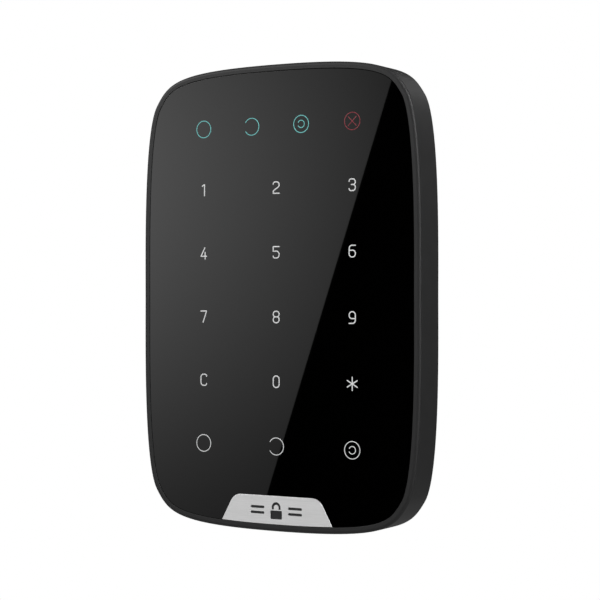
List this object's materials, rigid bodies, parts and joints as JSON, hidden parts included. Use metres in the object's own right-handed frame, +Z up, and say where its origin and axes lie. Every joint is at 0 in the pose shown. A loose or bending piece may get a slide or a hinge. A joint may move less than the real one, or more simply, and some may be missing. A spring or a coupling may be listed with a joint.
{
  "type": "alarm keypad panel",
  "caption": "Slim wall-mounted wireless alarm keypad with a glossy touch panel, backlit digits and arming symbols, on a slide-on bracket.",
  "frame": {"origin": "centre of the wall bracket on its wall face, which is also the centre of the keypad's outline", "axes": "+Z up along the keypad, +X to the right seen from the front, +Y into the wall; the touch panel faces -Y"},
  "size_m": [0.103, 0.014, 0.15],
  "materials": {
    "housing_plastic": "fine-textured dark grey moulding, satin to matte",
    "panel_gloss": "polished black, mirror-like",
    "brushed_metal": "bright, brushed lengthwise",
    "circuit_board": "green solder mask over glass fibre",
    "led_white": "white legend light",
    "led_teal": "teal status light",
    "led_red": "dim red status light",
    "black_moulding": "black engineering plastic",
    "zinc_steel": "zinc plated",
    "nickel_contact": "nickel plated spring strip",
    "cell_sleeve": "plain shrink sleeve",
    "label_stock": "blank matte label",
    "nylon": "natural nylon"
  },
  "bodies": {
    "bracket": {"mounting_bracket": "housing_plastic"},
    "keypad": {"rear_cover": "housing_plastic", "front_frame": "housing_plastic", "touch_panel": "panel_gloss", "badge_plate": "brushed_metal", "main_board": "circuit_board", "led_key_1": "led_white", "led_key_2": "led_white", "led_key_3": "led_white", "led_key_4": "led_white", "led_key_5": "led_white", "led_key_6": "led_white", "led_key_7": "led_white", "led_key_8": "led_white", "led_key_9": "led_white", "led_key_c": "led_white", "led_key_0": "led_white", "led_key_star": "led_white", "led_key_arm": "led_white", "led_key_disarm": "led_white", "led_key_night": "led_white", "led_armed": "led_teal", "led_disarmed": "led_teal", "led_night_mode": "led_teal", "led_fault": "led_red", "mcu_chip": "black_moulding", "crystal": "zinc_steel", "battery_connector": "nylon", "radio_shield": "zinc_steel", "antenna": "nickel_contact", "buzzer": "black_moulding", "capacitor_1": "zinc_steel", "capacitor_2": "zinc_steel", "tamper_switch": "black_moulding", "tamper_spring": "zinc_steel", "power_switch": "black_moulding", "battery_holder": "black_moulding", "battery_cell_1": "cell_sleeve", "battery_cell_2": "cell_sleeve", "battery_cell_3": "cell_sleeve", "battery_cell_4": "cell_sleeve", "battery_contact_plus": "nickel_contact", "battery_link_1": "nickel_contact", "battery_link_2": "nickel_contact", "battery_link_3": "nickel_contact", "battery_contact_minus": "nickel_contact", "rating_label": "label_stock", "case_screw_top_right": "zinc_steel", "case_screw_top_left": "zinc_steel", "case_screw_bottom_left": "zinc_steel", "case_screw_bottom_right": "zinc_steel"},
    "tamper_pin": {"tamper_plunger": "nylon"},
    "power_key": {"power_button": "housing_plastic"},
    "captive_washer": {"lock_washer": "nylon"},
    "lock": {"lock_screw": "zinc_steel"}
  },
  "joints": [
    {"name": "keypad_lift", "type": "slide", "parent": "bracket", "child": "keypad", "axis": [0, 0, 1], "range_m": [0, 0.005]},
    {"name": "tamper_travel", "type": "slide", "parent": "keypad", "child": "tamper_pin", "axis": [0, 1, 0], "range_m": [0, 0.0008], "deforming": ["tamper_spring"]},
    {"name": "power_press", "type": "slide", "parent": "keypad", "child": "power_key", "axis": [0, -1, 0], "range_m": [0, 0.0007], "stiffness_N_per_m": 400, "springref_m": -0.0005},
    {"name": "lock_screw_travel", "type": "slide", "parent": "keypad", "child": "captive_washer", "axis": [0, 0, -1], "range_m": [0, 0.003]},
    {"name": "lock_screw_turn", "type": "hinge", "parent": "captive_washer", "child": "lock", "pos_m": [0, -0.0068, -0.074], "axis": [0, 0, -1], "range_deg": [0, 2160]}
  ],
  "couplings": [
    {"joint": "tamper_travel", "follows": "keypad_lift", "ratio": 0.16},
    {"joint": "lock_screw_turn", "follows": "lock_screw_travel", "rad_per_m": 12566}
  ]
}
